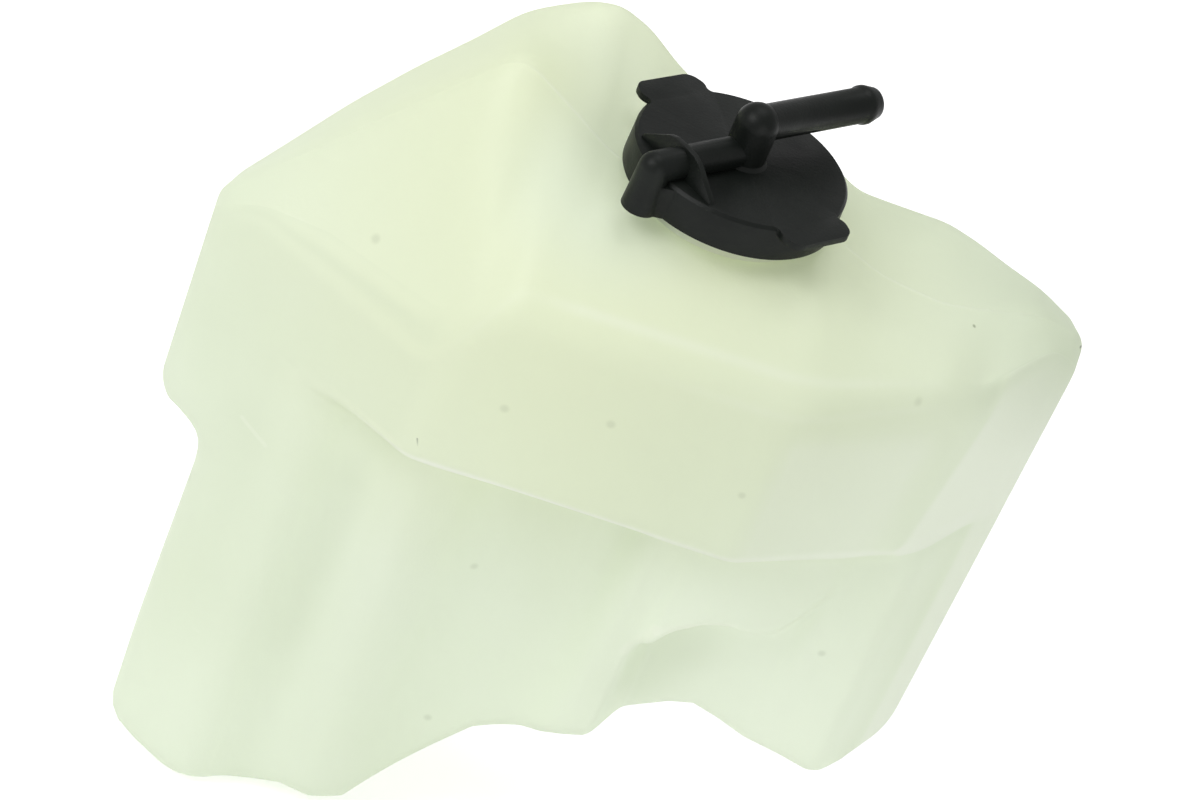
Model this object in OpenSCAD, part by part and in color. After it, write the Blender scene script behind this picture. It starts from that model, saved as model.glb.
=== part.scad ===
// Coolant expansion tank: a blow-moulded shell, its quarter-turn cap, the cap's seal and a dip tube.
// Millimetres. The origin is on the neck's axis, level with the platform round the neck.
// X runs to the right, Y to the back and Z up. The mould parts near the plane y = 0.

/* [Tank outline] */
// Left wall, from the neck's axis
tank_left = 108.2; // [104:0.5:112]
// Right wall, from the neck's axis
tank_right = 95.4; // [93:0.5:100]
// Left wall of the tall column, from the neck's axis
column_left = 93.5; // [92:0.5:96]
// Floor of the tall column, below the platform
column_floor = 204; // [190:1:220]
// Floor of the short block on the right, below the platform
block_floor = 140; // [132:1:150]
// Height of the lobe's crest above the platform
lobe_rise = 17; // [12:0.5:22]

/* [Tank depth] */
// Front of the upper bulge, from the parting plane
bulge_front = 43.5; // [40:0.5:50]
// Back wall, from the parting plane
tank_back = 40; // [36:0.5:46]
// Underside of the bulge, below the platform
ledge_drop = 66; // [62:0.5:72]
// Thickness of the blown wall
wall = 2; // [1.4:0.1:2.6]

/* [Neck] */
// Wall of the neck
neck_wall = 3; // [2.5:0.1:3.5]
// Height of the neck's rim above the platform
neck_rise = 6.8; // [6.5:0.1:8]
// How far the ramps stand out from the neck, and the lugs from the cap
ramp_depth = 1.3; // [1:0.1:1.6]
// Height of a ramp or lug
ramp_height = 1.3; // [1.1:0.1:1.4]
// Rise of the ramps in one full turn
ramp_lead = 6; // [4:0.5:7]

/* [Cap] */
// Diameter of the cap's disc
cap_d = 50.6; // [50:0.2:54]
// Thickness of the disc
cap_top = 2.6; // [2:0.1:3]
// Wall of the skirt
skirt_wall = 3.1; // [2.6:0.1:3.6]
// Depth of the skirt under the disc
skirt_h = 6; // [5.8:0.1:6.4]
// Reach of the grip wings from the cap's axis
wing_reach = 30.2; // [28:0.2:34]
// Width of a grip wing at its outer edge
wing_w = 16.6; // [12:0.2:20]
// Thickness of a grip wing
wing_t = 1.6; // [1.2:0.1:2]
// Direction of the outlet, turned from X towards Y
cap_turn = 44; // [0:1:90]
// Running clearance between the cap and the neck
run_gap = 0.4; // [0.3:0.05:0.6]
// Thickness of the seal
seal_t = 1.8; // [1.4:0.1:2.4]

/* [Cap pipes] */
// Outside of the outlet pipe
outlet_d = 8.4; // [7.4:0.1:9]
// Bore of the outlet pipe
outlet_bore = 4.6; // [3.5:0.1:5.5]
// Reach of the outlet pipe from the cap's axis
outlet_reach = 36.7; // [34:0.5:46]
// Height of the outlet pipe's axis above the disc
outlet_h = 9.4; // [6.5:0.1:10]
// How far the bead at the outlet's end stands out
bead = 0.4; // [0.3:0.1:0.9]
// Outside of the vent pipe
vent_d = 7.4; // [6.5:0.1:8.5]
// Bore of the vent pipe
vent_bore = 4; // [3:0.1:5]
// How far the axis of the vent's down leg stands out from the skirt
vent_out = 2.1; // [2:0.1:5]
// Outside of the down leg at its foot
vent_foot_d = 8.5; // [7.6:0.1:9.5]
// Height of the vent pipe's axis above the disc
vent_h = 2.2; // [1.8:0.1:3]

/* [Dip tube] */
// Outside of the dip tube
dip_d = 9; // [8:0.1:10]
// Wall of the dip tube
dip_wall = 1.3; // [1:0.1:1.6]
// Gap between the dip tube's foot and the floor under it
dip_lift = 12; // [8:1:30]

/* [Hidden] */
eps = 0.01;
$fn = 96;

// Smoothed value of a rail at x: its points are joined by lines and its corners are rounded over soft
function rail(points, x, soft = 3) =
    let (n = 4, values = [for (k = [-n:n]) lookup(x + soft * k / n, points)])
    values * [for (v = values) 1 / len(values)];
function mix(a, b, t) = a + (b - a) * t;

// Crest of the tank along the parting line: x to z, and x to y
crest = [[-tank_left, -42], [-56, lobe_rise], [-51, lobe_rise], [-28, 1.5], [-23, 0], [25, 0], [41, -6.5],
    [58, -8.5], [80, -9], [tank_right, -16]];
crest_y = [[-tank_left, 3], [-95, 0], [56, 0], [78, 9], [tank_right, 18]];
// Front of the upper bulge in plan, x to y
bulge = [[-tank_left, -4], [-50, -bulge_front], [28, -bulge_front], [68, -20], [87, 5], [tank_right, 11]];
// Height of the bulge's upper edge
ridge = [[-tank_left, -45], [-97, -38], [-54, -34], [-39, -20], [30, -19], [60, -16], [70, -21], [86, -15],
    [tank_right, -22]];
// Front of the lower body just under the bulge, x to y
under = [[-tank_left, -4], [-81, -22.2], [-75, -25], [-68, -25], [-60, -22], [-48, -33], [-38, -33], [-24, -20],
    [4, -20], [11, -31], [30, -31], [55, -22], [62, -16], [75, -15.5], [87, 3], [tank_right, 11]];
// Front of the lower body at its foot, x to y
foot = [[-tank_left, -4], [-column_left, -13], [-72, -27], [-60, -19], [-47, -20], [-37, -21], [-30, -18],
    [-20, -16], [0, -18], [9, -24], [20, -24], [23, -15], [40, -15], [76, -16], [88, 2], [tank_right, 11]];
// Floor of the tank, x to z
floor_line = [[-tank_left, -101.2], [-102, -104.6], [-97, -108], [-95, -112], [-column_left - 0.7, -118],
    [-column_left, -124], [-column_left + 0.4, -column_floor + 11], [-column_left + 1.6, -column_floor + 6.5],
    [-column_left + 4, -column_floor + 3.6], [-column_left + 9, -column_floor + 2.2],
    [-66, -column_floor + 0.6], [-57, -column_floor + 1.2], [-48, -column_floor + 3.8],
    [-40, -column_floor + 3], [-32, -column_floor + 5],
    [-8, -164.8], [2, -157.5], [10, -152.6], [18, -151], [27, -block_floor - 3.5], [35, -block_floor + 1.7],
    [42, -block_floor + 2], [48, -block_floor + 0.5], [56, -block_floor - 2], [66, -block_floor - 4],
    [76, -block_floor - 6.8], [82, -block_floor - 9.2], [90, -block_floor - 7.6],
    [tank_right, -block_floor - 5.5]];
// Upper edge of the step in the lower front, x to z
step_line = [[-tank_left, -82], [-97, -95], [-91, -98], [-82, -106], [18, -106], [21, -107.5], [25, -101],
    [31, -96.5], [37, -96], [43.5, -98], [50, -96.5], [55, -88.5], [60, -80], [tank_right, -80]];
// Height of the step's slope, and the rounding of its corners
step_full = 22;
step_drop = [[-96, 8], [-92, step_full], [-88, step_full], [-80, 7]];
step_soft = [[-86, 10], [-78, 3.5]];
// Share of the slope between the bulge and the foot: 0 where the step is sharp
slope_share = [[-column_left, 0], [-84, 0], [-80, 1], [18, 1], [21, 0], [56, 0], [62, 1]];
// Back wall in plan, x to y
back = [[-tank_left, 13], [-55, tank_back], [66, tank_back], [tank_right, 27]];
// Height of the back wall's upper edge
back_top = [[-tank_left, -49], [-97, -35.5], [-86, -22.3], [-74.7, -11], [-63.5, -1.5], [-53.6, 8], [-46, 14],
    [-40, 18], [-34, 19.8], [-26, 17], [-16, 9], [-4, 1], [24, -4], [34, -9], [57, -9], [66, -12], [75, -14],
    [84, -15.5], [tank_right, -20]];
// How far the top stands above a straight slope, in front of and behind the neck
front_swell = [[-46, 0], [-36, 4], [-25, 7.5], [25, 7.5], [40, 4], [70, 0]];
back_swell = [[-45, 0], [-27, -7], [-16, -4], [-4, 0], [24, 2], [34, 0]];

// Rounding of the column's left vertical edges and of the two end walls
column_r = 9;
end_r = 4.5;
function quarter(t) = 1 - sqrt(max(0, 1 - t * t));
function column_round(x, w) =
    let (t = x + column_left)
    column_r * (t < -w ? max(0, 1 + (t + w) / 6) : quarter(max(0, 1 - max(0, t - w) / column_r)));
function end_inset(x, w) =
    end_r * quarter(max(0, 1 - (x - w + tank_left) / end_r, 1 - (tank_right - w - x) / end_r));

// Value of a rail at x, moved by w towards +1 or -1 in the section's plane and along X alike
function tight(points, x, soft, w, way) =
    w == 0 ? rail(points, x, soft) :
    let (values = [for (a = [-90:22.5:90]) way * rail(points, x + w * sin(a), soft) + w * cos(a)])
    way * max(values);
// Reach of a corner's rounding: on the inner skin it is that of the same corner, moved in by w
function reach(r, w, hollow = false) = w == 0 ? r : r / 2 + (hollow ? 0.5 : -0.3) * w;

// Corners of the section at x, each [y, z, reach of its rounding]; w moves them in for the inner skin
function section(x, w = 0) =
    let (
        top_y = rail(crest_y, x), top_z = tight(crest, x, 3, w, -1), ridge_z = tight(ridge, x, 3, w, -1),
        front_y = tight(bulge, x, 2.5, w, 1), under_y = tight(under, x, 3, w, 1),
        foot_y = tight(foot, x, 2, w, 1),
        back_y = tight(back, x, 3, w, -1), back_z = tight(back_top, x, 3, w, -1),
        floor_z = tight(floor_line, x, 0.3, w, 1), share = rail(slope_share, x, 1),
        step_z = tight(step_line, x, 1.5, w, 1), step_low = max(step_z - rail(step_drop, x, 1), floor_z + 5),
        under_z = -ledge_drop - 6 + w, inset = column_round(x, w), soft = reach(rail(step_soft, x, 1), w),
        sharp = w * max(0, back_z - top_z) / 12,
        low_inset = inset * min(1, (step_z - step_low) / step_full),
        f1 = (under_z - step_z) / (under_z - floor_z), f2 = (under_z - step_low) / (under_z - floor_z)
    )
    [
        [top_y, top_z, reach(6, w)],
        [mix(top_y, front_y, 0.58), mix(top_z, ridge_z, 0.58) + rail(front_swell, x) - 0.4 * w, reach(14, w)],
        [front_y + 1, ridge_z, reach(6, w)],
        [front_y, -ledge_drop + w, reach(3.6, w)],
        [under_y, under_z, reach(6, w, true)],
        [mix(under_y, foot_y, f1 * share), step_z, soft],
        [mix(foot_y, under_y, (1 - f2) * share) + low_inset, step_low, reach(4, w, true)],
        [foot_y + inset, floor_z, reach(9, w)],
        [back_y - 2 - inset, floor_z, reach(9, w)],
        [back_y - 1 - low_inset, step_low, soft],
        [back_y, step_z, soft],
        [back_y, back_z - sharp, reach(10, w)],
        [mix(top_y, back_y, 0.6), mix(top_z, back_z, 0.6) + rail(back_swell, x) - 0.5 * (w + sharp),
            reach(8, w)],
    ];

// Lean of the column's left wall: how far it stands out at the foot, fading out to the right and upwards
column_lean = 2.8;
lean_from = [-60, -115];
function lean(x, z) = column_lean * max(0, lean_from[0] - x) / (lean_from[0] + column_left)
    * max(0, lean_from[1] - z) / (lean_from[1] + column_floor);

// Points of one rounded corner: a parabola from side to side
function corner_points(a, b, c, n) =
    let (
        p = [a[0], a[1]], q = [b[0], b[1]], s = [c[0], c[1]], la = norm(p - q), lc = norm(s - q),
        start = q + (p - q) / la * min(b[2], 0.46 * la), end = q + (s - q) / lc * min(b[2], 0.46 * lc)
    )
    [for (k = [0:n]) let (t = k / n) (1 - t) * (1 - t) * start + 2 * t * (1 - t) * q + t * t * end];

// Closed ring of points round the tank at x, drawn in at the end walls
function ring(x, n, w = 0) =
    let (
        c = section(x, w), m = len(c), d = end_inset(x, w),
        flat = [for (k = [0:m - 1]) each corner_points(c[(k + m - 1) % m], c[k], c[(k + 1) % m], n)],
        ys = [for (q = flat) q[0]], zs = [for (q = flat) q[1]],
        low = [min(ys), min(zs)], high = [max(ys), max(zs)], mid = (low + high) / 2
    )
    [for (q = flat)
        let (z = mid[1] + (q[1] - mid[1]) * (1 - 2 * d / (high[1] - low[1])))
        [x - lean(x, z), mid[0] + (q[0] - mid[0]) * (1 - 2 * d / (high[0] - low[0])), z]];

// Where the skin's rings stand, w in from the outside; coarse is 2 on the inner skin
function stations(w, coarse) = [
    for (x = [0, 0.25, 1, 2.4, 4.5, 7, 9.5, 11.8]) -tank_left + w + x,
    for (x = [-0.9, -0.35, 0.05, 0.4, 1.2, 2.8, 5.4, 9]) -column_left + w + x,
    for (x = [-81.5:2.7 * coarse:-30]) x,
    for (x = [-27:3.4 * coarse:14]) x,
    for (x = [15.5:1.5 * coarse:32]) x,
    for (x = [35:3 * coarse:tank_right - 6]) x,
    for (x = [3.6, 2, 0.9, 0.25, 0]) tank_right - w - x
];

module skin(rings) {
    m = len(rings);
    w = len(rings[0]);
    ones = [for (q = rings[0]) 1 / w];
    points = concat([for (r = rings) each r], [ones * rings[0], ones * rings[m - 1]]);
    sides = [for (i = [0:m - 2], k = [0:w - 1]) each [
        [i * w + k, (i + 1) * w + (k + 1) % w, i * w + (k + 1) % w],
        [i * w + k, (i + 1) * w + k, (i + 1) * w + (k + 1) % w]]];
    ends = [for (k = [0:w - 1]) each [
        [m * w, k, (k + 1) % w],
        [m * w + 1, (m - 1) * w + (k + 1) % w, (m - 1) * w + k]]];
    polyhedron(points, concat(sides, ends), convexity = 8);
}

// Neck and quarter-turn fastening: the neck fits in the skirt and goes down by neck_root, and a ramp ends
// under the rim by ramp_low
skirt_in = cap_d / 2 - skirt_wall;
neck_r = skirt_in - run_gap - ramp_depth;
neck_bore = 2 * (neck_r - neck_wall);
neck_root = 3;
ramp_sweep = 70;
ramp_from = 20;
ramp_low = 0.3;
ramp_z = neck_rise - ramp_low - ramp_height / 2 - ramp_lead * ramp_sweep / 360;
lug_from = 20;
lug_sweep = 40;
lug_play = 0.2;
lug_z = ramp_z + ramp_lead * lug_from / 360 - ramp_height - lug_play;
// How far ramps and lugs run into the wall that carries them
bond = 0.3;
// Heights of the cap's underside and top, and of the skirt's foot
cap_under = neck_rise + seal_t;
cap_z = cap_under + cap_top;
skirt_z = cap_under - skirt_h;

// Pair of ramps or lugs: a trapezoid from radius base to radius crest, rising round the axis
module ramps(base, crest, z, from, sweep) {
    steps = 12;
    draft = 0.3;
    half = ramp_height / 2;
    side = base < crest ? 1 : -1;
    profile = [[base, -side * half], [crest, -side * (half - draft)], [crest, side * (half - draft)],
        [base, side * half]];
    points = [for (i = [0:steps], q = profile)
        let (a = sweep * i / steps, rise = z + ramp_lead * a / 360)
        [q[0] * cos(from + a), q[0] * sin(from + a), rise + q[1]]];
    sides = [for (i = [0:steps - 1], k = [0:3])
        [4 * i + k, 4 * i + 4 + k, 4 * i + 4 + (k + 1) % 4, 4 * i + (k + 1) % 4]];
    last = 4 * steps;
    faces = concat(sides, [[0, 1, 2, 3], [last + 3, last + 2, last + 1, last]]);
    for (turn = [0, 180]) rotate([0, 0, turn]) polyhedron(points, faces);
}

module tank() {
    color([0.9, 0.93, 0.84])
    difference() {
        union() {
            difference() {
                skin([for (x = stations(0, 1)) ring(x, 3)]);
                skin([for (x = stations(wall, 2)) ring(x, 1, wall)]);
            }
            translate([0, 0, -neck_root]) cylinder(r = neck_r, h = neck_root + neck_rise);
            ramps(neck_r - bond, neck_r + ramp_depth, ramp_z, ramp_from, ramp_sweep);
        }
        translate([0, 0, -3 * neck_root]) cylinder(d = neck_bore, h = 3 * neck_root + neck_rise + 1);
    }
}

// The cap's plug: a ring that goes down into the neck
plug_r = neck_bore / 2 - 1.5 * run_gap;
plug_wall = 1.6;
plug_h = 4.4;

// Flat rubber ring on the neck's rim, round the plug
seal_over = 0.7;
seal_gap = 0.2;
module seal() {
    color([0.12, 0.12, 0.12])
    translate([0, 0, neck_rise]) difference() {
        cylinder(r = neck_r + seal_over, h = seal_t);
        translate([0, 0, -1]) cylinder(r = plug_r + seal_gap, h = seal_t + 2);
    }
}

// Cap: the skirt's draft, the chamfers on the disc and the plug, and the roundings of the wings in plan
skirt_draft = 0.2;
edge = 0.7;
plug_edge = [0.4, 0.8];
wing_flare = 2.4;
wing_corner = 1.6;
// Spigot that carries the dip tube, from the cap's underside
spigot_gap = 0.05;
spigot_r = dip_d / 2 - dip_wall - spigot_gap;
spigot_wall = 1.1;
spigot_h = 16;
// Boss under the outlet pipe with the collar at its foot, and the bead near the pipe's end
boss_r = outlet_d / 2 + 0.8;
collar = 0.8;
bead_at = 4;
bead_land = 0.9;
bead_slope = 1.2;
tip_edge = 0.5;
// Axes of the vent's down leg and of the hole under the vent pipe, and the web between skirt and leg
vent_reach = cap_d / 2 + skirt_draft + vent_out;
vent_land = 1.3;
vent_inner = plug_r - plug_wall - vent_land - vent_bore / 2;
web_w = 12.2;
// Arched plate across the vent pipe, plate_in from the disc's edge: half of its outline, each point
// [across, up from the disc]
plate_in = 5.3;
plate_t = 1.4;
plate_half = [[12.5, 0], [12.2, 0.9], [8, 3.9], [5.4, 5.8], [3.4, 6.5], [0, 6.7]];
// How far the pieces of one moulding run into each other
overlap = 0.5;

module cap_shell() {
    rotate_extrude() polygon([
        [0, cap_under], [plug_r - plug_wall, cap_under], [plug_r - plug_wall, cap_under - plug_h],
        [plug_r - plug_edge[0], cap_under - plug_h], [plug_r, cap_under - plug_h + plug_edge[1]],
        [plug_r, cap_under],
        [skirt_in, cap_under], [skirt_in, skirt_z], [cap_d / 2 + skirt_draft, skirt_z],
        [cap_d / 2, cap_z - edge], [cap_d / 2 - edge, cap_z], [0, cap_z]]);
}

module wings() {
    translate([0, 0, cap_z - wing_t]) linear_extrude(wing_t)
        offset(r = -wing_corner) offset(delta = 2 * wing_corner)
        offset(r = wing_corner) offset(delta = -2 * wing_corner) union() {
            circle(r = cap_d / 2 - edge);
            for (side = [-1, 1])
                scale([1, side]) polygon([
                    [-wing_w / 2 - wing_flare, cap_d / 2 - wing_flare], [-wing_w / 2, wing_reach],
                    [wing_w / 2, wing_reach], [wing_w / 2 + wing_flare, cap_d / 2 - wing_flare]]);
        }
}

// Upright boss with the outlet pipe, along X from the boss's axis
module outlet() {
    translate([0, 0, cap_z - overlap]) cylinder(r = boss_r, h = outlet_h + overlap);
    translate([0, 0, cap_z - eps]) cylinder(r1 = boss_r + collar, r2 = boss_r, h = collar);
    translate([0, 0, cap_z + outlet_h]) {
        sphere(r = boss_r);
        rotate([0, 90, 0]) rotate_extrude() polygon([
            [0, 0], [outlet_d / 2, 0], [outlet_d / 2, outlet_reach - bead_at - bead_slope],
            [outlet_d / 2 + bead, outlet_reach - bead_at],
            [outlet_d / 2 + bead, outlet_reach - bead_at + bead_land],
            [outlet_d / 2 - tip_edge, outlet_reach], [0, outlet_reach]]);
    }
    translate([0, 0, cap_under - spigot_h]) cylinder(r = spigot_r, h = spigot_h + overlap);
}

// Vent pipe over the rim with its elbow, down leg, web and plate
module vent() {
    translate([0, 0, cap_z + vent_h]) {
        rotate([0, -90, 0]) cylinder(d = vent_d, h = vent_reach);
        translate([-vent_reach, 0, 0]) sphere(d = vent_d);
    }
    translate([-vent_reach, 0, skirt_z]) cylinder(d1 = vent_foot_d, d2 = vent_d, h = cap_z + vent_h - skirt_z);
    translate([0, 0, skirt_z + eps]) linear_extrude(skirt_h + cap_top - edge - 2 * eps) polygon([
        [-cap_d / 2 + 3 * overlap, -web_w / 2], [-vent_reach, -vent_d / 2], [-vent_reach, vent_d / 2],
        [-cap_d / 2 + 3 * overlap, web_w / 2]]);
    translate([plate_in - cap_d / 2, 0, cap_z]) rotate([90, 0, 90]) linear_extrude(plate_t, center = true)
        polygon(concat(plate_half,
            [for (i = [len(plate_half) - 1:-1:0]) [-plate_half[i][0], plate_half[i][1]]],
            [[-plate_half[0][0], -overlap], [plate_half[0][0], -overlap]]));
}

// Bores of both pipes
module channels() {
    translate([0, 0, cap_under - spigot_h - 1])
        cylinder(r = spigot_r - spigot_wall, h = spigot_h + outlet_h + cap_top + 1);
    translate([0, 0, cap_z + outlet_h]) {
        sphere(d = outlet_bore);
        rotate([0, 90, 0]) cylinder(d = outlet_bore, h = outlet_reach + 1);
    }
    translate([-vent_reach, 0, cap_z + vent_h]) {
        sphere(d = vent_bore);
        rotate([0, 90, 0]) cylinder(d = vent_bore, h = vent_reach - vent_inner);
        translate([0, 0, -cap_top - skirt_h - vent_h - 2])
            cylinder(d = vent_bore, h = cap_top + skirt_h + vent_h + 2);
    }
    translate([-vent_inner, 0, cap_under - 1]) cylinder(d = vent_bore, h = cap_top + 1 + vent_h);
}

module cap() {
    color([0.13, 0.15, 0.13])
    rotate([0, 0, cap_turn]) difference() {
        union() {
            cap_shell();
            wings();
            outlet();
            difference() {
                vent();
                translate([0, 0, skirt_z - 2]) cylinder(r = cap_d / 2 - 1, h = cap_under - skirt_z + 2 + eps);
            }
            rotate([0, 0, -cap_turn])
                ramps(skirt_in + bond, neck_r + run_gap, lug_z, ramp_from + lug_from, lug_sweep);
        }
        channels();
    }
}

// Plain tube on the cap's spigot, cut on a slant at its foot
module dip_tube() {
    foot_z = lookup(0, floor_line) + wall + dip_lift;
    color([0.86, 0.88, 0.82])
    difference() {
        translate([0, 0, foot_z]) cylinder(d = dip_d, h = cap_under - foot_z);
        translate([0, 0, foot_z - 1]) cylinder(d = dip_d - 2 * dip_wall, h = cap_under - foot_z + 2);
        translate([-dip_d, -dip_d / 2, foot_z]) rotate([45, 0, 0]) translate([0, -dip_d, -2 * dip_d])
            cube([2 * dip_d, 4 * dip_d, 2 * dip_d]);
    }
}

tank();
seal();
cap();
dip_tube();
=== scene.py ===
import math

import bpy
import numpy as np
from mathutils import Matrix, Vector


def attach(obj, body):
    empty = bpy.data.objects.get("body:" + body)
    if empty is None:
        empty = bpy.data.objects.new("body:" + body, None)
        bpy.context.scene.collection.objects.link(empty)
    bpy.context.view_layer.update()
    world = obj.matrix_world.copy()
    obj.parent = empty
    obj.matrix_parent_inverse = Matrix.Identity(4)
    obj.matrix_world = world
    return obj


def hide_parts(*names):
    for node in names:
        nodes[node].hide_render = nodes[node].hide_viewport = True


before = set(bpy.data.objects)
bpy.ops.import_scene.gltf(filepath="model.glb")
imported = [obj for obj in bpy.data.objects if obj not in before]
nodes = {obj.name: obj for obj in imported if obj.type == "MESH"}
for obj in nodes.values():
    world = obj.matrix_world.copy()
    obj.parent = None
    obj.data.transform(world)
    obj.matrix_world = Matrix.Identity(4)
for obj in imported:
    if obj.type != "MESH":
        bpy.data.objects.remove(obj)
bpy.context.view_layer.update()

MM = 0.001

# Sizes of the tank, in millimetres, as in the part's source, but for the notch and the block's floor, which follow the
# photo more closely. A list of pairs is a rail along x: place and value.
LEFT, RIGHT, COLUMN_LEFT, COLUMN_FLOOR, BLOCK_FLOOR, LOBE = 108.2, 95.4, 93.5, 204.0, 140.0, 17.0
BULGE, BACK, LEDGE = 43.49, 40.0, 66.0
NECK_R, NECK_BORE, NECK_RISE = 20.5, 17.5, 6.8
COLUMN_R, END_R, STEP_FULL = 9.0, 4.5, 22.0

CREST = [(-LEFT, -42), (-56, LOBE), (-51, LOBE), (-28, 1.5), (-23, 0), (25, 0), (41, -6.5), (58, -8.5), (80, -9),
         (RIGHT, -16)]
CREST_Y = [(-LEFT, 3), (-95, 0), (56, 0), (78, 9), (RIGHT, 18)]
BULGE_LINE = [(-LEFT, -4), (-50, -BULGE), (28, -BULGE), (68, -20), (87, 5), (RIGHT, 11)]
RIDGE = [(-LEFT, -45), (-97, -38), (-54, -34), (-39, -20), (30, -19), (60, -16), (70, -21), (86, -15), (RIGHT, -22)]
UNDER = [(-LEFT, -4), (-81, -22.2), (-75, -25), (-68, -25), (-60, -22), (-48, -33), (-38, -33), (-24, -20), (4, -20),
         (11, -31), (30, -31), (55, -22), (62, -16), (75, -15.5), (87, 3), (RIGHT, 11)]
FOOT = [(-LEFT, -4), (-COLUMN_LEFT, -13), (-72, -27), (-60, -19), (-47, -20), (-37, -21), (-30, -18), (-20, -16),
        (0, -18), (9, -24), (20, -24), (23, -15), (40, -15), (76, -16), (88, 2), (RIGHT, 11)]
FLOOR = [(-LEFT, -102.4), (-105, -103.8), (-102, -104.3), (-99, -105.2), (-97, -106.4), (-95.5, -108.6),
         (-COLUMN_LEFT - 1, -112), (-COLUMN_LEFT - 0.6, -117), (-COLUMN_LEFT, -124),
         (-COLUMN_LEFT + 0.4, -COLUMN_FLOOR + 11), (-COLUMN_LEFT + 1.6, -COLUMN_FLOOR + 6.5),
         (-COLUMN_LEFT + 4, -COLUMN_FLOOR + 3.6), (-COLUMN_LEFT + 9, -COLUMN_FLOOR + 2.2), (-66, -COLUMN_FLOOR + 0.7),
         (-57, -COLUMN_FLOOR + 1.2), (-48, -COLUMN_FLOOR + 3.8), (-40, -COLUMN_FLOOR + 3), (-32, -COLUMN_FLOOR + 5),
         (-8, -164.8), (2, -157.5), (10, -152.6), (17, -150.2), (21, -148), (27, -BLOCK_FLOOR - 3.9),
         (35, -BLOCK_FLOOR + 1), (41, -BLOCK_FLOOR + 3), (48, -BLOCK_FLOOR + 1), (56, -BLOCK_FLOOR - 2),
         (66, -BLOCK_FLOOR - 3.8), (76, -BLOCK_FLOOR - 6.2), (80, -BLOCK_FLOOR - 8.2), (84, -BLOCK_FLOOR - 9.6),
         (88, -BLOCK_FLOOR - 9.2), (RIGHT, -BLOCK_FLOOR - 6.5)]
STEP = [(-LEFT, -82), (-97, -95), (-91, -98), (-82, -106), (18, -106), (21, -107.5), (25, -101), (31, -96.5),
        (37, -96), (43.5, -98), (50, -96.5), (55, -88.5), (60, -80), (RIGHT, -80)]
STEP_DROP = [(-96, 8), (-92, STEP_FULL), (-88, STEP_FULL), (-80, 7)]
STEP_SOFT = [(-86, 10), (-78, 3.5)]
SHARE = [(-COLUMN_LEFT, 0), (-84, 0), (-80, 1), (18, 1), (21, 0), (56, 0), (62, 1)]
BACK_LINE = [(-LEFT, 13), (-55, BACK), (66, BACK), (RIGHT, 27)]
BACK_TOP = [(-LEFT, -49), (-97, -35.5), (-86, -22.3), (-74.7, -11), (-63.5, -1.5), (-53.6, 8), (-46, 14), (-40, 18),
            (-34, 19.8), (-26, 17), (-16, 9), (-4, 1), (24, -4), (34, -9), (57, -9), (66, -12), (75, -14), (84, -15.5),
            (RIGHT, -20)]
# How far the kinks of the lower front are rounded, and how far the top's panels swell
EASY = [(-96, 2), (-84, 6), (0, 6), (6, 3)]
FRONT_SWELL = [(-46, 0), (-36, 4), (-25, 7.5), (25, 7.5), (40, 4), (70, 0)]
BACK_SWELL = [(-45, 0), (-27, -7), (-16, -4), (-4, 0), (24, 2), (34, 0)]


def rail(points, x, soft=3.0):
    """Value of a rail at x, averaged over soft on both sides"""
    p = np.array(points, float)
    return float(np.interp(x + soft * np.linspace(-1, 1, 33), p[:, 0], p[:, 1]).mean())


def mix(a, b, t):
    return a + (b - a) * t


def quarter(t):
    return 1 - math.sqrt(max(0.0, 1 - t * t))


FLOOR_SOFT, WALL_X, BELOW_ALL = 0.3, -COLUMN_LEFT - 0.25, -215
# Lower edge of the lobe, up into the notch and down the column's left wall
LOW_LINE = np.array([(x, rail(FLOOR, x, FLOOR_SOFT)) for x in np.linspace(-LEFT, WALL_X, 200)] + [(WALL_X, BELOW_ALL)])


def edge_inset(x, z, floor_z):
    """How far the rounding of the lower edge, which turns up into the notch and down the column, stands in"""
    near = z - floor_z
    if x < -COLUMN_LEFT + COLUMN_R:
        a, b, q = LOW_LINE[:-1], LOW_LINE[1:], np.column_stack([np.full(len(z), x), z])[:, None]
        t = np.clip(((q - a) * (b - a)).sum(2) / ((b - a) ** 2).sum(1), 0, 1)[..., None]
        near = np.minimum(near, np.linalg.norm(q - a - t * (b - a), axis=2).min(1))
    return COLUMN_R * (1 - np.sqrt(np.clip(near / COLUMN_R, 0, 1))) ** 2


def end_inset(x):
    """How far the section shrinks towards the tank's ends"""
    return END_R * quarter(max(0.0, 1 - (x + LEFT) / END_R, 1 - (RIGHT - x) / END_R))


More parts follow.
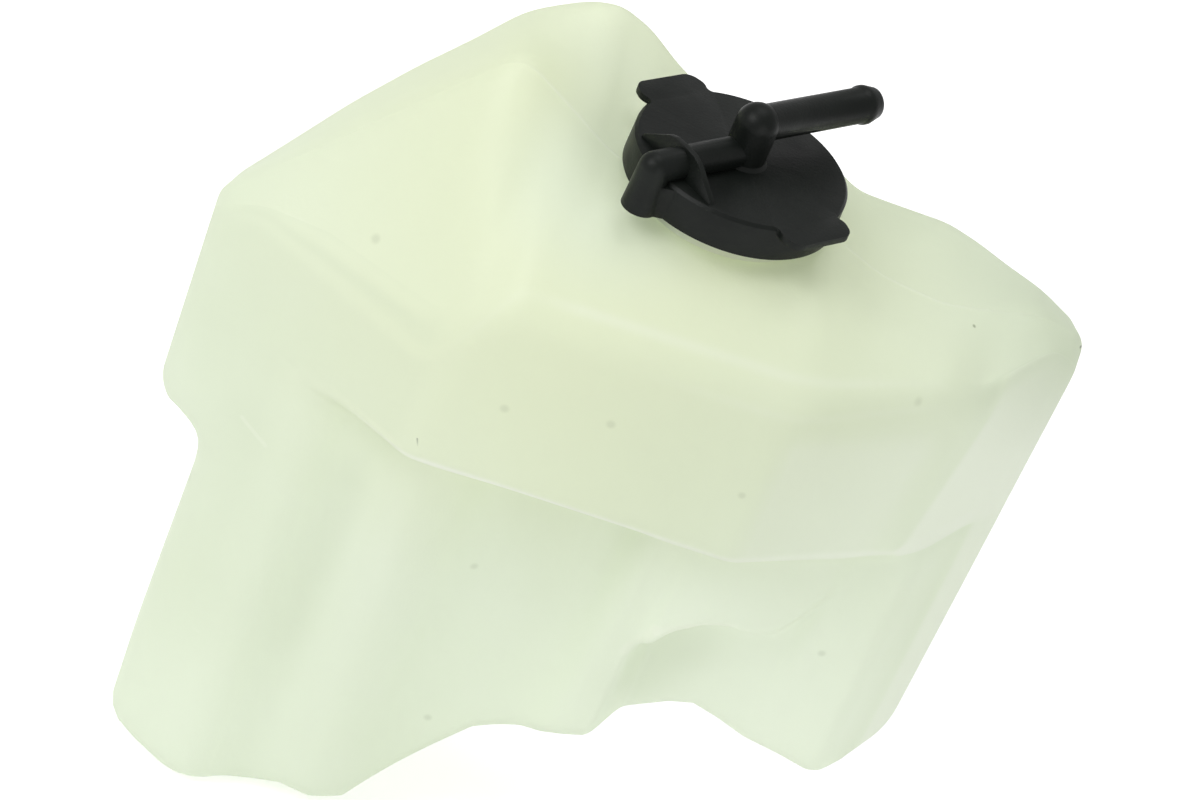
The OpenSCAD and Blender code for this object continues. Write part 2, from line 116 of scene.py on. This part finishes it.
def section(x):
    """Corners of the tank's section at x, from the crest down the front and up the back, with their roundings"""
    top_y, top_z, ridge_z = rail(CREST_Y, x), rail(CREST, x), rail(RIDGE, x)
    front_y, easy = rail(BULGE_LINE, x, 2.5), rail(EASY, x, 1)
    under_y, foot_y = rail(UNDER, x, easy), rail(FOOT, x, easy)
    back_y, back_z = rail(BACK_LINE, x), rail(BACK_TOP, x)
    floor_z, share, step_z = rail(FLOOR, x, FLOOR_SOFT), rail(SHARE, x, 1), rail(STEP, x, 1.5)
    step_low = max(step_z - rail(STEP_DROP, x, 1), floor_z + 5)
    under_z, soft = -LEDGE - 6, rail(STEP_SOFT, x, 1)
    f1 = (under_z - step_z) / (under_z - floor_z)
    f2 = (under_z - step_low) / (under_z - floor_z)
    return [
        (top_y, top_z, 6),
        (mix(top_y, front_y, 0.58), mix(top_z, ridge_z, 0.58) + rail(FRONT_SWELL, x), 14),
        (rail(BULGE_LINE, x, 7) + 1, ridge_z, 6), (front_y, -LEDGE, 3.4), (under_y, under_z, 6),
        (mix(under_y, foot_y, f1 * share), step_z, soft),
        (mix(foot_y, under_y, (1 - f2) * share), step_low, 4),
        (foot_y, floor_z, 0.5), (back_y - 2, floor_z, 0.5), (back_y - 1, step_low, soft),
        (back_y, step_z, soft), (back_y, back_z, 10),
        (mix(top_y, back_y, 0.6), mix(top_z, back_z, 0.6) + rail(BACK_SWELL, x), 8)]


# Lean of the column's left wall
LEAN, LEAN_X, LEAN_Z = 2.8, -60.0, -115.0


def lean(x, z):
    return LEAN * max(0.0, LEAN_X - x) / (LEAN_X + COLUMN_LEFT) * np.maximum(0.0, LEAN_Z - z) / (LEAN_Z + COLUMN_FLOOR)


# Where the points of a corner's arc lie: most corners, the ridge and the ledge, and the crest with its seam
CORNER_T = np.linspace(0, 1, 9)
CREASE_T = np.linspace(0, 1, 15)
SEAM_T = np.array([0, 0.15, 0.3, 0.4, 0.45, 0.475, 0.49, 0.5, 0.51, 0.525, 0.55, 0.6, 0.7, 0.85, 1.0])
SEAM_RISE = 0.16 / 0.28 * np.array([0, 0, 0, 0, 0.02, 0.12, 0.24, 0.28, 0.24, 0.12, 0.02, 0, 0, 0, 0])
# Points between a corner and the next
SPANS = {0: 2, 1: 12, 2: 10, 3: 3, 4: 6, 5: 8, 6: 22, 8: 14, 9: 4, 10: 3}


def fade(x, *points):
    """Value at x of a line through the points"""
    xs, vs = zip(*points)
    return float(np.interp(x, xs, vs))


def bump(v, centre, width):
    """1 at the centre, falling off as a bell"""
    return np.exp(-((np.asarray(v) - centre) / width) ** 2)


def painted_shading(x, k, yz, corners, reach, t=None):
    """Painted highlight (+) and painted shade (-) on the wall, for points of one corner or span"""
    out = np.zeros(len(yz))
    z = yz[:, 1]
    if k == 3 and t is not None:  # painted highlight along the ledge's line
        out += bump(t, 0.5, 0.26) * fade(x, (-80, 0), (-62, 0.9), (-45, 1.4), (20, 1.4), (30, 1), (70, 0.9), (84, 0.7),
                                         (88, 0))
    if k == 2 or k == 1 and t is None:  # painted highlight lines and painted shade beside the ridge, by the distance from it
        if t is None:
            d = np.linalg.norm(yz - corners[2], axis=1) * (2 * k - 3)
        else:
            d = (t - 0.5) * 2 * reach
        line = fade(x, (-104, 0), (-90, 1.5), (-75, 3.3), (-54, 5.5), (-50, 4.5), (-39, -6), (30, -6), (64, -2),
                    (70, 0))
        strong = fade(x, (-104, 0), (-97, 0.6), (-54, 0.8), (-47, 0.45), (-34, 0.45), (-25, 1), (40, 0.9), (58, 0.6),
                      (70, 0))
        left = fade(x, (-96, 0), (-88, 1), (-60, 1), (-53, 0))
        right = fade(x, (-25, 0), (15, 1), (54, 0.9), (66, 0))
        out += 0.52 * bump(d, line, 1.9) * strong
        out += 0.35 * bump(d, -3.8, 1.6) * left - 0.12 * bump(d, -0.4, 1.5) * left
        out += 0.35 * bump(d, 3.8, 1.8) * right - 0.2 * bump(d, -1.4, 2) * right
        out -= 0.5 * bump(d, -3, 7) * fade(x, (60, 0), (78, 1), (92, 1))
    if k == 0 and t is not None:  # painted highlight along the seam
        out += bump(t, 0.5, 0.05) * fade(x, (-56, 0), (-48, 0.5), (60, 0.5), (88, 0.3), (92, 0))
    if k in (11, 12):  # the crest's back
        out += fade(x, (-60, -0.25), (-30, 0.1), (0, 0.1), (40, -0.1))
    if 2 <= k <= 7:  # the front
        upper = np.clip((z + 69) / 3, 0, 1)
        low = 1 - upper
        # Painted light on the right facet, and a band of painted shade before it
        edge = np.where(z > -68, 68 + 7 * np.clip((z + 66) / 36, 0, 1), 87)
        out += 0.95 / (1 + np.exp(-(x - edge) / 0.6)) * np.clip((106 - x) / 10, 0, 1)
        out -= 0.45 * np.clip(1 + (x - edge) / 13, 0, 1) / (1 + np.exp((x - edge) / 0.6))
        # Painted shade on the bulge's left facet and painted light on its right facet
        lobe = fade(x, (-84, 1), (-76, 0)) * np.clip((z + 110) / 40, 0, 1)
        out += np.clip((-24 - z) / 8, 0, 1) * np.maximum(upper, lobe) * fade(
            x, (-108, -0.2), (-100, -0.4), (-54, -0.4), (-46, 0), (25, 0), (31, 0.7), (60, 0.7), (70, 0.2))
        # Painted shade under the ledge and in the valley, with painted light beside the valley
        out -= low * 0.45 * bump(z, -75, 8) * fade(x, (-40, 0), (-24, 0.4), (-6, 1), (6, 0.8), (16, 0.3), (60, 0.6),
                                                   (74, 0.3), (84, 0))
        valley = low * np.clip((-76 - z) / 15, 0, 1)
        out -= valley * (0.65 * bump(x, -58.5, 6.5) + 0.3 * bump(x, -84, 9) - 0.25 * bump(x, -47, 5))
    return out


def ring(x):
    """Points of the tank's section at x, and the painted highlight or shade of each"""
    c, pts, painted_tones, ends = section(x), [], [], []
    corners = [np.array(q[:2]) for q in c]
    for k in range(len(c)):
        a, q, b = (corners[(k + s) % len(c)] for s in (-1, 0, 1))
        la, lb, r = np.linalg.norm(a - q), np.linalg.norm(b - q), c[k][2]
        p, s = q + (a - q) / la * min(r, 0.46 * la), q + (b - q) / lb * min(r, 0.46 * lb)
        t = (SEAM_T if k == 0 else CREASE_T if k in (2, 3) else CORNER_T)
        tt = t[:, None]
        arc = (1 - tt) ** 2 * p + 2 * tt * (1 - tt) * q + tt * tt * s
        if k == 0:
            out = q - (p + s) / 2
            seam = fade(x, (6 - LEFT, 0), (14 - LEFT, 1), (RIGHT - 14, 1), (RIGHT - 6, 0))
            arc = arc + SEAM_RISE[:, None] * seam * out / np.linalg.norm(out)
        pts.append(arc)
        painted_tones.append(painted_shading(x, k, arc, corners, r, t))
        ends.append((p, s))
    flat, painted_tone, side = [], [], []
    for k in range(len(c)):
        flat.append(pts[k])
        painted_tone.append(painted_tones[k])
        n = SPANS.get(k, 0)
        side += [1 if 4 <= k <= 7 else -1 if 8 <= k <= 11 else 0] * (len(pts[k]) + n)
        if n:
            u = np.linspace(0, 1, n + 2)[1:-1, None]
            u = 1 - (1 - u) ** 2 if k == 6 else u ** 2 if k == 8 else u
            span = mix(ends[k][1], ends[(k + 1) % len(c)][0], u)
            flat.append(span)
            painted_tone.append(painted_shading(x, k, span, corners, c[k][2]))
    flat, painted_tone = np.concatenate(flat), np.concatenate(painted_tone)
    share = min(1.0, 0.45 * (c[8][0] - c[7][0]) / COLUMN_R)
    flat[:, 0] += share * np.array(side) * edge_inset(x, flat[:, 1], c[7][1])
    low, high, d = flat.min(0), flat.max(0), end_inset(x)
    mid = (low + high) / 2
    flat = mid + (flat - mid) * (1 - 2 * d / (high - low))
    return np.column_stack([x - lean(x, flat[:, 1]), flat]), painted_tone


def mesh_object(name, verts, faces, smooth=True):
    me = bpy.data.meshes.new(name)
    me.from_pydata([tuple(v) for v in verts], [], faces)
    me.validate()
    me.polygons.foreach_set("use_smooth", [smooth] * len(me.polygons))
    ob = bpy.data.objects.new(name, me)
    bpy.context.scene.collection.objects.link(ob)
    return ob


def tank_skin():
    """The tank's smooth outside, with rings of points closer together at its ends and at the column's left wall"""
    xs = [-LEFT]
    while xs[-1] < RIGHT:
        near = min(((xs[-1] + COLUMN_LEFT) / 6) ** 2, ((xs[-1] + LEFT) / 5) ** 2, ((xs[-1] - RIGHT) / 5) ** 2)
        xs.append(xs[-1] + 0.1 + 0.47 * (1 - math.exp(-near)))
    xs[-1] = RIGHT
    rings, painted_tones = zip(*[ring(x) for x in xs])
    m, w = len(rings), len(rings[0])
    verts = np.concatenate(list(rings) + [rings[0].mean(0)[None], rings[-1].mean(0)[None]]) * MM
    faces = [(i * w + k, (i + 1) * w + k, (i + 1) * w + (k + 1) % w, i * w + (k + 1) % w)
             for i in range(m - 1) for k in range(w)]
    faces += [(m * w, k, (k + 1) % w) for k in range(w)]
    faces += [(m * w + 1, (m - 1) * w + (k + 1) % w, (m - 1) * w + k) for k in range(w)]
    ob = mesh_object("tank_skin", verts, faces)
    # Painted highlight and painted shade of each point, kept as a mesh attribute
    painted_tone = np.concatenate(list(painted_tones) + [[0.3], [0.3]]).astype(np.float32)
    ob.data.attributes.new("painted_tone", "FLOAT", "POINT").data.foreach_set("value", painted_tone)
    return ob


def lathe(name, profile, n=128):
    """Ring round the z axis from a closed profile of radius and height"""
    m = len(profile)
    verts = [(r * math.cos(2 * math.pi * i / n) * MM, r * math.sin(2 * math.pi * i / n) * MM, z * MM)
             for i in range(n) for r, z in profile]
    faces = [(i * m + k, ((i + 1) % n) * m + k, ((i + 1) % n) * m + (k + 1) % m, i * m + (k + 1) % m)
             for i in range(n) for k in range(m)]
    return mesh_object(name, verts, faces)


def smooth_by_angle(ob, degrees=35):
    bpy.context.view_layer.objects.active = ob
    for o in bpy.context.selected_objects:
        o.select_set(False)
    ob.select_set(True)
    bpy.ops.object.shade_smooth_by_angle(angle=math.radians(degrees))


# Materials
def new_material(name):
    mat = bpy.data.materials.new(name)
    mat.use_nodes = True
    nt = mat.node_tree
    nt.nodes.clear()
    return mat, nt, nt.nodes.new("ShaderNodeOutputMaterial")


def link(nt, a, b):
    nt.links.new(a, b)


def noise(nt, coords, scale, detail=3.0, rough=0.5):
    n = nt.nodes.new("ShaderNodeTexNoise")
    n.inputs["Scale"].default_value = scale
    n.inputs["Detail"].default_value = detail
    n.inputs["Roughness"].default_value = rough
    link(nt, coords, n.inputs["Vector"])
    return n.outputs["Fac"]


def ramp(nt, value, low, high, a, b):
    n = nt.nodes.new("ShaderNodeMapRange")
    n.interpolation_type = "SMOOTHSTEP"
    for key, v in (("From Min", low), ("From Max", high), ("To Min", a), ("To Max", b)):
        n.inputs[key].default_value = v
    link(nt, value, n.inputs["Value"])
    return n.outputs["Result"]


def blend_colour(nt, factor, a, b):
    n = nt.nodes.new("ShaderNodeMix")
    n.data_type = "RGBA"
    for socket, v in ((n.inputs[0], factor), (n.inputs[6], a), (n.inputs[7], b)):
        if isinstance(v, (tuple, float)):
            socket.default_value = v
        else:
            link(nt, v, socket)
    return n.outputs[2]


def near_point(nt, coords, point, inner, outer):
    """1 within inner of the point, 0 beyond outer"""
    n = nt.nodes.new("ShaderNodeVectorMath")
    n.operation = "DISTANCE"
    link(nt, coords, n.inputs[0])
    n.inputs[1].default_value = [v * MM for v in point]
    return ramp(nt, n.outputs["Value"], inner * MM, outer * MM, 1.0, 0.0)


def math_node(nt, op, a, b):
    n = nt.nodes.new("ShaderNodeMath")
    n.operation = op
    for i, v in enumerate((a, b)):
        if isinstance(v, (int, float)):
            n.inputs[i].default_value = v
        else:
            link(nt, v, n.inputs[i])
    return n.outputs[0]


# Dark flecks in the wall, as x, y, z and radius. The small one is a dark mark.
FLECKS = [(-71.7, -20.9, -26.9, 1.3), (-33.2, -43.0, -44.0, 1.2), (-9.9, -42.9, -39.0, 1.2), (23.7, -43.1, -46.3, 1.0),
          (54.3, -25.8, -18.6, 1.3), (63.6, -16.0, -104.6, 1.1), (-23.4, -19.3, -109.0, 1.2),
          (-19.3, -16.8, -162.2, 1.2),
          (64.4, -1.8, -10.4, 0.5)]


# Colours of painted shade, painted highlight and cooler painted shade, and places of the wall with painted highlight or
# shade, as point, inner and outer reach, share and colour
PAINTED_SHADE, PAINTED_HIGHLIGHT, PAINTED_COOL_SHADE = (0.70, 0.755, 0.62, 1), (0.945, 0.995, 0.885, 1), (0.72, 0.80, 0.80, 1)
PAINTED_LIGHT_AND_SHADE = [((25, -43, -45), 15, 60, 0.22, PAINTED_SHADE), ((90, 14, -14), 4, 42, 0.6, PAINTED_SHADE), ((40, 10, -5), 20, 60, 0.2, PAINTED_SHADE),
          ((48, -15, -128), 14, 60, 0.95, PAINTED_HIGHLIGHT), ((-15, -17, -150), 10, 55, 0.4, PAINTED_HIGHLIGHT),
          ((-70, -22, -190), 12, 55, 0.7, PAINTED_HIGHLIGHT), ((14, -22, -92), 5, 32, 0.45, PAINTED_HIGHLIGHT),
          ((24, -16, -126), 2, 19, 0.34, PAINTED_SHADE), ((32, -15, -114), 2, 15, 0.28, PAINTED_SHADE),
          ((32, -28, -95), 4, 24, 0.75, PAINTED_HIGHLIGHT), ((-28, 22, 3), 5, 30, 0.5, PAINTED_HIGHLIGHT),
          ((62, -22, -70), 20, 60, 0.3, PAINTED_HIGHLIGHT),
          ((-26, -12, 0), 8, 32, 0.28, PAINTED_COOL_SHADE)]
# Scratches, a dark mark on the right end and a painted highlight along the lip of the arch, as both ends, half width,
# share and tone
SCRATCHES_AND_HIGHLIGHTS = [((-87.0, -18.4, -89.0), (-79.9, -22.5, -91.4), 0.9, 0.28, 0.96),
             ((-85.8, -17.7, -154.1), (-80.0, -22.0, -153.4), 0.7, 0.28, 0.96),
             ((-48.9, -43.0, -59.6), (-48.2, -43.0, -61.4), 0.3, 0.5, 0.2),
             ((94.2, 15.0, -17.5), (94.8, 19.5, -19.5), 0.5, 0.6, 0.12),
             ((17.2, -27.0, -113.5), (21.1, -30.7, -101.7), 2.2, 0.4, 0.96),
             ((21.1, -30.7, -101.7), (28.4, -30.3, -97.6), 2.2, 0.5, 0.96),
             ((28.4, -30.3, -97.6), (38, -28, -96.0), 2.2, 0.5, 0.96)]


def near_line(nt, coords, a, b, r):
    """1 on the line from a to b, 0 beyond r"""
    a, b = Vector(a) * MM, Vector(b) * MM
    away = nt.nodes.new("ShaderNodeVectorMath")
    away.operation = "SUBTRACT"
    link(nt, coords, away.inputs[0])
    away.inputs[1].default_value = a
    along = nt.nodes.new("ShaderNodeVectorMath")
    along.operation = "DOT_PRODUCT"
    link(nt, away.outputs[0], along.inputs[0])
    along.inputs[1].default_value = (b - a) / (b - a).length_squared
    share = ramp(nt, along.outputs["Value"], 0.0, 1.0, 0.0, 1.0)
    share.node.interpolation_type = "LINEAR"
    foot = nt.nodes.new("ShaderNodeVectorMath")
    foot.operation = "SCALE"
    foot.inputs[0].default_value = b - a
    link(nt, share, foot.inputs["Scale"])
    gap = nt.nodes.new("ShaderNodeVectorMath")
    gap.operation = "DISTANCE"
    link(nt, away.outputs[0], gap.inputs[0])
    link(nt, foot.outputs[0], gap.inputs[1])
    return ramp(nt, gap.outputs["Value"], 0.3 * r * MM, r * MM, 1.0, 0.0)


def tank_plastic():
    mat, nt, out = new_material("tank_plastic")
    coords = nt.nodes.new("ShaderNodeTexCoord").outputs["Object"]
    cream = (0.865, 0.92, 0.785, 1)
    pale = (0.885, 0.935, 0.82, 1)
    warm = (0.86, 0.90, 0.71, 1)
    light = (0.97, 0.985, 0.93, 1)
    colour = blend_colour(nt, ramp(nt, noise(nt, coords, 14.0), 0.35, 0.65, 0.0, 1.0), cream, pale)
    colour = blend_colour(nt, near_point(nt, coords, (-20, -15, 0), 25, 125), colour, warm)
    # Painted highlight and painted shade of the wall from the per-point tone: towards the light colour above 0, towards
    # the shade colour below 0
    painted_tone = nt.nodes.new("ShaderNodeAttribute")
    painted_tone.attribute_name = "painted_tone"
    colour = blend_colour(nt, ramp(nt, painted_tone.outputs["Fac"], 0.0, 1.5, 0.0, 1.0), colour, light)
    colour = blend_colour(nt, ramp(nt, painted_tone.outputs["Fac"], 0.0, -1.5, 0.0, 0.8), colour, PAINTED_SHADE)
    # Painted highlight and painted shade at the listed places
    for point, inner, outer, share, shade in PAINTED_LIGHT_AND_SHADE:
        spot = math_node(nt, "MULTIPLY", near_point(nt, coords, point, inner, outer), share)
        colour = blend_colour(nt, spot, colour, shade)
    # Scratches and dark marks, and the painted highlight on the arch's lip
    for a, b, r, share, shade in SCRATCHES_AND_HIGHLIGHTS:
        colour = blend_colour(nt, math_node(nt, "MULTIPLY", near_line(nt, coords, a, b, r), share), colour,
                              (shade, 1.03 * shade, 0.93 * shade, 1))
    for x, y, z, r in FLECKS:
        spot = near_point(nt, coords, (x, y, z), 0.3 * r, 1.3 * r)
        share = 0.18 if r > 0.6 else 0.8
        colour = blend_colour(nt, math_node(nt, "MULTIPLY", spot, share), colour, (0.33, 0.36, 0.26, 1))
    shade = nt.nodes.new("ShaderNodeBsdfPrincipled")
    link(nt, colour, shade.inputs["Base Color"])
    shade.inputs["Roughness"].default_value = 0.42
    shade.inputs["Specular IOR Level"].default_value = 0.35
    through = nt.nodes.new("ShaderNodeBsdfTranslucent")
    link(nt, colour, through.inputs["Color"])
    grain = nt.nodes.new("ShaderNodeBump")
    grain.inputs["Strength"].default_value = 0.12
    grain.inputs["Distance"].default_value = 0.0006
    link(nt, noise(nt, coords, 320.0, 4.0, 0.6), grain.inputs["Height"])
    for n in (shade, through):
        link(nt, grain.outputs["Normal"], n.inputs["Normal"])
    both = nt.nodes.new("ShaderNodeMixShader")
    both.inputs[0].default_value = 0.45
    link(nt, shade.outputs[0], both.inputs[1])
    link(nt, through.outputs[0], both.inputs[2])
    link(nt, both.outputs[0], out.inputs["Surface"])
    return mat


def cap_plastic():
    mat, nt, out = new_material("cap_plastic")
    coords = nt.nodes.new("ShaderNodeTexCoord").outputs["Object"]
    base = blend_colour(nt, ramp(nt, noise(nt, coords, 60.0, 5.0, 0.6), 0.35, 0.7, 0.0, 1.0),
                        (0.0044, 0.0058, 0.0048, 1), (0.0070, 0.0090, 0.0074, 1))
    shade = nt.nodes.new("ShaderNodeBsdfPrincipled")
    link(nt, base, shade.inputs["Base Color"])
    link(nt, ramp(nt, noise(nt, coords, 90.0, 4.0, 0.6), 0.3, 0.7, 0.36, 0.46), shade.inputs["Roughness"])
    shade.inputs["Specular IOR Level"].default_value = 0.17
    grain = nt.nodes.new("ShaderNodeBump")
    grain.inputs["Strength"].default_value = 0.25
    grain.inputs["Distance"].default_value = 0.0002
    link(nt, noise(nt, coords, 1400.0, 3.0, 0.6), grain.inputs["Height"])
    link(nt, grain.outputs["Normal"], shade.inputs["Normal"])
    link(nt, shade.outputs[0], out.inputs["Surface"])
    return mat


def plain(name, colour, rough):
    mat, nt, out = new_material(name)
    shade = nt.nodes.new("ShaderNodeBsdfPrincipled")
    coords = nt.nodes.new("ShaderNodeTexCoord").outputs["Object"]
    darker = tuple(0.85 * c for c in colour[:3]) + (1,)
    link(nt, blend_colour(nt, noise(nt, coords, 80.0), darker, colour), shade.inputs["Base Color"])
    shade.inputs["Roughness"].default_value = rough
    link(nt, shade.outputs[0], out.inputs["Surface"])
    return mat


def dress(ob, mat):
    ob.data.materials.clear()
    ob.data.materials.append(mat)


tank_mat = tank_plastic()
skin = tank_skin()
dress(skin, tank_mat)
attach(skin, "tank")
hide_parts("tank")

ROOT = [(NECK_R + 0.8 * (1 - math.sin(a)), -0.1 + 0.8 * (1 - math.cos(a))) for a in np.linspace(0, math.pi / 2, 5)]
neck = lathe("tank_neck", [(NECK_BORE, -3), (NECK_R + 0.8, -1.5)] + ROOT + [
    (NECK_R, NECK_RISE - 0.3), (NECK_R - 0.3, NECK_RISE), (NECK_BORE + 0.3, NECK_RISE), (NECK_BORE, NECK_RISE - 0.3)])
smooth_by_angle(neck, 30)
dress(neck, tank_mat)
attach(neck, "tank")

for name, mat, width in (("cap", cap_plastic(), 0.35), ("seal", plain("seal_rubber", (0.03, 0.03, 0.03, 1), 0.6), 0.15),
                         ("dip_tube", plain("tube_plastic", (0.8, 0.83, 0.74, 1), 0.4), 0.15)):
    ob = nodes[name]
    weld = ob.modifiers.new("weld", "WELD")
    weld.merge_threshold = 1e-6
    bevel = ob.modifiers.new("bevel", "BEVEL")
    bevel.width = width * MM
    bevel.segments = 3
    bevel.limit_method = "ANGLE"
    bevel.angle_limit = math.radians(40)
    bevel.harden_normals = True
    for p in ob.data.polygons:
        p.use_smooth = True
    dress(ob, mat)

# Floor and light
def plane(name, size, z):
    corners = [(-size, -size, z), (size, -size, z), (size, size, z), (-size, size, z)]
    return mesh_object(name, corners, [(0, 1, 2, 3)], False)


ground = plane("floor", 4.0, -0.2036)
mat, nt, out = new_material("floor_white")
path = nt.nodes.new("ShaderNodeLightPath")
seen = math_node(nt, "MAXIMUM", path.outputs["Is Camera Ray"],
                 math_node(nt, "MAXIMUM", path.outputs["Is Glossy Ray"], path.outputs["Is Transmission Ray"]))
matte = nt.nodes.new("ShaderNodeBsdfDiffuse")
matte.inputs["Color"].default_value = (0.9, 0.9, 0.9, 1)
glow = nt.nodes.new("ShaderNodeEmission")
link(nt, math_node(nt, "MULTIPLY", seen, 0.45), glow.inputs["Strength"])
add = nt.nodes.new("ShaderNodeAddShader")
link(nt, matte.outputs[0], add.inputs[0])
link(nt, glow.outputs[0], add.inputs[1])
link(nt, add.outputs[0], out.inputs["Surface"])
ground.data.materials.append(mat)

world = bpy.data.worlds.new("studio")
bpy.context.scene.world = world
world.use_nodes = True
nt = world.node_tree
nt.nodes.clear()
out = nt.nodes.new("ShaderNodeOutputWorld")
path = nt.nodes.new("ShaderNodeLightPath")
back = nt.nodes.new("ShaderNodeBackground")
back.inputs["Color"].default_value = (1, 1, 1, 1)
seen = path.outputs["Is Camera Ray"]
link(nt, math_node(nt, "ADD", math_node(nt, "MULTIPLY", seen, 0.45), 0.55), back.inputs["Strength"])
link(nt, back.outputs[0], out.inputs["Surface"])


def lamp(name, place, target, size, power):
    data = bpy.data.lights.new(name, "AREA")
    data.shape = "SQUARE"
    data.size = size
    data.energy = power
    ob = bpy.data.objects.new(name, data)
    ob.location = place
    ob.rotation_euler = (Vector(target) - Vector(place)).to_track_quat("-Z", "Y").to_euler()
    bpy.context.scene.collection.objects.link(ob)


lamp("key", (-0.8, -0.5, 0.9), (0, 0, -0.08), 0.7, 8.0)
lamp("fill", (0.6, -1.1, 0.1), (0, 0, -0.1), 1.0, 3.4)
lamp("top", (0.0, 0.35, 1.3), (0, 0, -0.05), 0.8, 4.5)

# Camera at the photograph's angle
PITCH, YAW, ROLL = (math.radians(v) for v in (35.956, 7.983, 23.031))
OFF_X, OFF_Y, DIST, LIFT = 8.174, -61.86, 752.286, 10.6
ax = Vector((math.cos(YAW), -math.sin(YAW), 0))
ay = Vector((math.sin(YAW), math.cos(YAW), 0))
az = Vector((0, 0, 1))
right = ax
down = -(az * math.cos(PITCH) + ay * math.sin(PITCH))
ahead = ay * math.cos(PITCH) - az * math.sin(PITCH)
cam_x = right * math.cos(ROLL) - down * math.sin(ROLL)
cam_y = -(right * math.sin(ROLL) + down * math.cos(ROLL))
place = (ax * -OFF_X + ay * (OFF_Y * math.sin(PITCH) - DIST * math.cos(PITCH))
         + az * (OFF_Y * math.cos(PITCH) + DIST * math.sin(PITCH) + LIFT)) * MM
cam_data = bpy.data.cameras.new("camera")
cam_data.sensor_width = 36.0
cam_data.lens = 3365.338 / 1200 * 36.0
cam = bpy.data.objects.new("camera", cam_data)
cam.matrix_world = Matrix((
    (cam_x.x, cam_y.x, -ahead.x, place.x), (cam_x.y, cam_y.y, -ahead.y, place.y),
    (cam_x.z, cam_y.z, -ahead.z, place.z), (0, 0, 0, 1)))
bpy.context.scene.collection.objects.link(cam)
bpy.context.scene.camera = cam
bpy.context.scene.view_settings.view_transform = "Standard"

bpy.context.view_layer.update()
